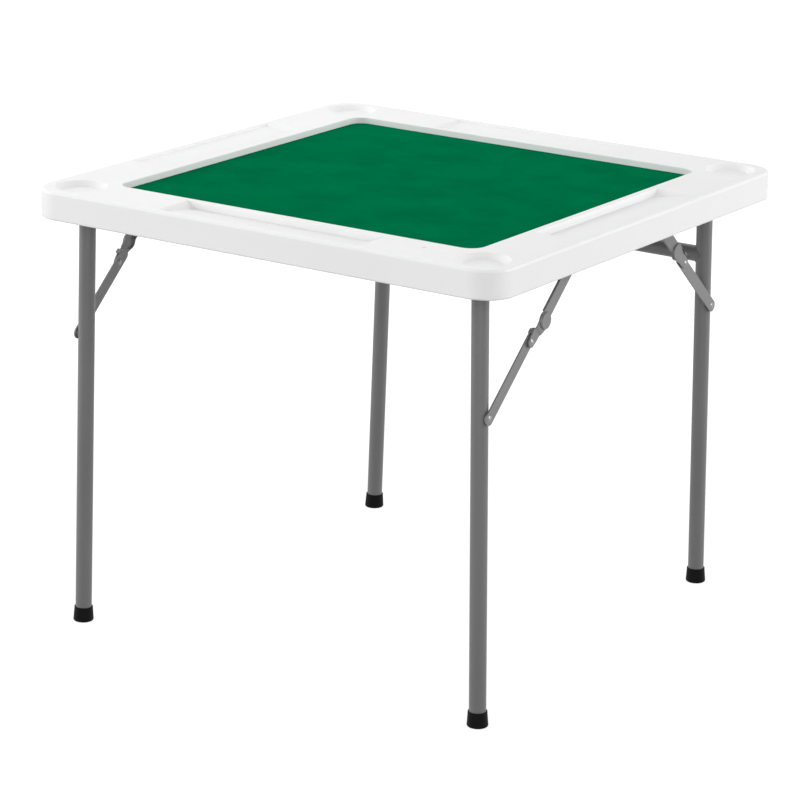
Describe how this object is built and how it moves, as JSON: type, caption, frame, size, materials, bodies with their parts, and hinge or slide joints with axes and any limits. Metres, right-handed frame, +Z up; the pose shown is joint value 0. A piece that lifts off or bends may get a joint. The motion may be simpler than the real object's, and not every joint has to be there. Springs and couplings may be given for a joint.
{
  "type": "folding card table",
  "caption": "Square folding card table: moulded rim with cup recesses and chip trays round a felt field, on two folding tube leg frames with jointed braces.",
  "frame": {"origin": "on the floor under the middle of the square top", "axes": "+Z up, front legs at -Y, rear legs at +Y, +X to the right seen from the front"},
  "size_m": [0.88, 0.88, 0.74],
  "materials": {
    "table_plastic": "white blow-moulded polyethylene with a fine grain",
    "field_board": "thin hardboard",
    "field_felt": "green napped felt, slightly mottled",
    "frame_paint": "grey powder coat on round steel tube",
    "link_paint": "grey powder coat on pressed steel strip",
    "rail_steel": "galvanised steel angle",
    "rivet_steel": "bright zinc-plated steel",
    "bush_plastic": "natural nylon",
    "foot_rubber": "black moulded rubber"
  },
  "bodies": {
    "top": {"top_panel": "table_plastic", "felt_board": "field_board", "felt_cloth": "field_felt", "rail_screws": "rivet_steel", "bracket_screws": "rivet_steel", "side_rail_left": "rail_steel", "side_rail_right": "rail_steel", "rear_brace_bracket_left": "rail_steel", "rear_brace_bracket_right": "rail_steel", "front_hinge_bush_left": "bush_plastic", "front_hinge_bush_right": "bush_plastic", "front_top_rivet_left": "rivet_steel", "front_top_rivet_right": "rivet_steel", "rear_hinge_bush_left": "bush_plastic", "rear_hinge_bush_right": "bush_plastic", "rear_top_rivet_left": "rivet_steel", "rear_top_rivet_right": "rivet_steel"},
    "front_leg_frame": {"front_hinge_tube": "frame_paint", "front_push_nuts": "rivet_steel", "front_leg_left": "frame_paint", "front_leg_right": "frame_paint", "front_foot_cap_left": "foot_rubber", "front_foot_cap_right": "foot_rubber", "front_hinge_pin_left": "rivet_steel", "front_hinge_pin_right": "rivet_steel", "front_leg_rivet_left": "rivet_steel", "front_leg_rivet_right": "rivet_steel", "front_saddle_washer_left": "rivet_steel", "front_saddle_washer_right": "rivet_steel"},
    "front_lower_link_left": {"front_lower_link_left": "link_paint", "front_knee_rivet_tail_left": "rivet_steel"},
    "front_upper_link_left": {"front_upper_link_left": "link_paint", "front_knee_rivet_left": "rivet_steel"},
    "front_lower_link_right": {"front_lower_link_right": "link_paint", "front_knee_rivet_tail_right": "rivet_steel"},
    "front_upper_link_right": {"front_upper_link_right": "link_paint", "front_knee_rivet_right": "rivet_steel"},
    "rear_leg_frame": {"rear_hinge_tube": "frame_paint", "rear_push_nuts": "rivet_steel", "rear_leg_left": "frame_paint", "rear_leg_right": "frame_paint", "rear_foot_cap_left": "foot_rubber", "rear_foot_cap_right": "foot_rubber", "rear_hinge_pin_left": "rivet_steel", "rear_hinge_pin_right": "rivet_steel", "rear_leg_rivet_left": "rivet_steel", "rear_leg_rivet_right": "rivet_steel", "rear_saddle_washer_left": "rivet_steel", "rear_saddle_washer_right": "rivet_steel", "rear_crossbar": "frame_paint"},
    "rear_lower_link_left": {"rear_lower_link_left": "link_paint", "rear_knee_rivet_tail_left": "rivet_steel"},
    "rear_upper_link_left": {"rear_upper_link_left": "link_paint", "rear_knee_rivet_left": "rivet_steel"},
    "rear_lower_link_right": {"rear_lower_link_right": "link_paint", "rear_knee_rivet_tail_right": "rivet_steel"},
    "rear_upper_link_right": {"rear_upper_link_right": "link_paint", "rear_knee_rivet_right": "rivet_steel"}
  },
  "joints": [
    {"name": "front_frame_fold", "type": "hinge", "parent": "top", "child": "front_leg_frame", "pos_m": [0, -0.374, 0.702], "axis": [1, 0, 0], "range_deg": [0, 90]},
    {"name": "front_lower_link_left_turn", "type": "hinge", "parent": "front_leg_frame", "child": "front_lower_link_left", "pos_m": [-0.39349, -0.374, 0.494], "axis": [1, 0, 0], "range_deg": [0, 48.13]},
    {"name": "front_upper_link_left_turn", "type": "hinge", "parent": "top", "child": "front_upper_link_left", "pos_m": [-0.39954, -0.142, 0.702], "axis": [-1, 0, 0], "range_deg": [0, 41.89]},
    {"name": "front_lower_link_right_turn", "type": "hinge", "parent": "front_leg_frame", "child": "front_lower_link_right", "pos_m": [0.39349, -0.374, 0.494], "axis": [1, 0, 0], "range_deg": [0, 48.13]},
    {"name": "front_upper_link_right_turn", "type": "hinge", "parent": "top", "child": "front_upper_link_right", "pos_m": [0.39954, -0.142, 0.702], "axis": [-1, 0, 0], "range_deg": [0, 41.89]},
    {"name": "rear_frame_fold", "type": "hinge", "parent": "top", "child": "rear_leg_frame", "pos_m": [0, 0.407, 0.702], "axis": [-1, 0, 0], "range_deg": [0, 90]},
    {"name": "rear_lower_link_left_turn", "type": "hinge", "parent": "rear_leg_frame", "child": "rear_lower_link_left", "pos_m": [-0.34199, 0.407, 0.494], "axis": [-1, 0, 0], "range_deg": [0, 48.13]},
    {"name": "rear_upper_link_left_turn", "type": "hinge", "parent": "top", "child": "rear_upper_link_left", "pos_m": [-0.34804, 0.175, 0.702], "axis": [1, 0, 0], "range_deg": [0, 41.89]},
    {"name": "rear_lower_link_right_turn", "type": "hinge", "parent": "rear_leg_frame", "child": "rear_lower_link_right", "pos_m": [0.34199, 0.407, 0.494], "axis": [-1, 0, 0], "range_deg": [0, 48.13]},
    {"name": "rear_upper_link_right_turn", "type": "hinge", "parent": "top", "child": "rear_upper_link_right", "pos_m": [0.34804, 0.175, 0.702], "axis": [1, 0, 0], "range_deg": [0, 41.89]}
  ],
  "couplings": [
    {"joint": "front_lower_link_left_turn", "follows": "front_frame_fold", "ratio": 0.53469},
    {"joint": "front_upper_link_left_turn", "follows": "front_frame_fold", "ratio": 0.46531},
    {"joint": "front_lower_link_right_turn", "follows": "front_frame_fold", "ratio": 0.53469},
    {"joint": "front_upper_link_right_turn", "follows": "front_frame_fold", "ratio": 0.46531},
    {"joint": "rear_lower_link_left_turn", "follows": "rear_frame_fold", "ratio": 0.53469},
    {"joint": "rear_upper_link_left_turn", "follows": "rear_frame_fold", "ratio": 0.46531},
    {"joint": "rear_lower_link_right_turn", "follows": "rear_frame_fold", "ratio": 0.53469},
    {"joint": "rear_upper_link_right_turn", "follows": "rear_frame_fold", "ratio": 0.46531}
  ]
}
